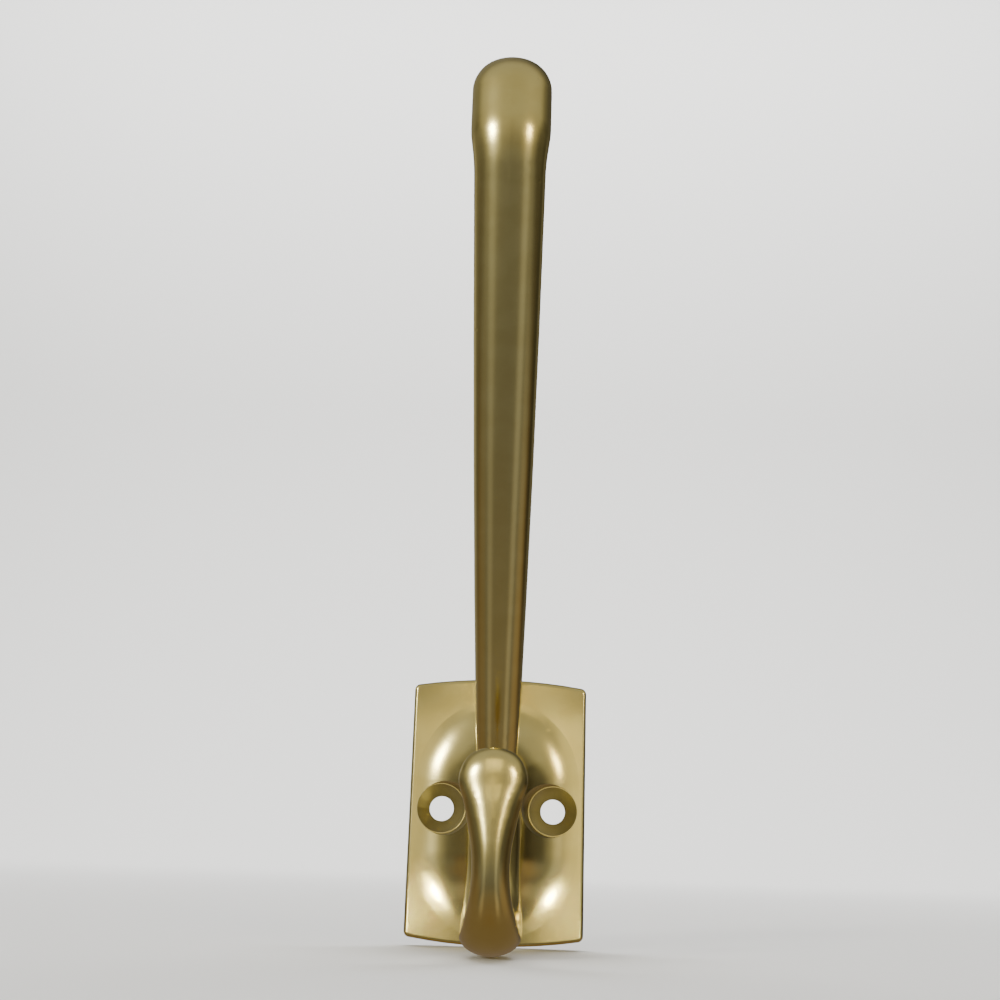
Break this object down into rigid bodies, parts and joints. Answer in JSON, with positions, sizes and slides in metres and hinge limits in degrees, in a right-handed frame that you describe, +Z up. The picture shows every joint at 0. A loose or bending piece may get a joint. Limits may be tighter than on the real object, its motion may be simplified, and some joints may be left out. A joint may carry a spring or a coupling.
{
  "type": "hat and coat hook",
  "caption": "Cast brass hat-and-coat hook: arched back plate with countersunk screw holes, flared stem, long sloping upper arm with a rounded toe, and a short upturned lower hook.",
  "frame": {"origin": "middle of the back plate's back face, level with the two screw holes", "axes": "+X to the right across the two screw holes, +Y into the wall, +Z up along the plate"},
  "size_m": [0.0286, 0.0578, 0.1253],
  "materials": {
    "satin_brass": "satin, finished all over, with small casting marks"
  },
  "bodies": {
    "root": {"hook_casting": "satin_brass"}
  },
  "joints": []
}
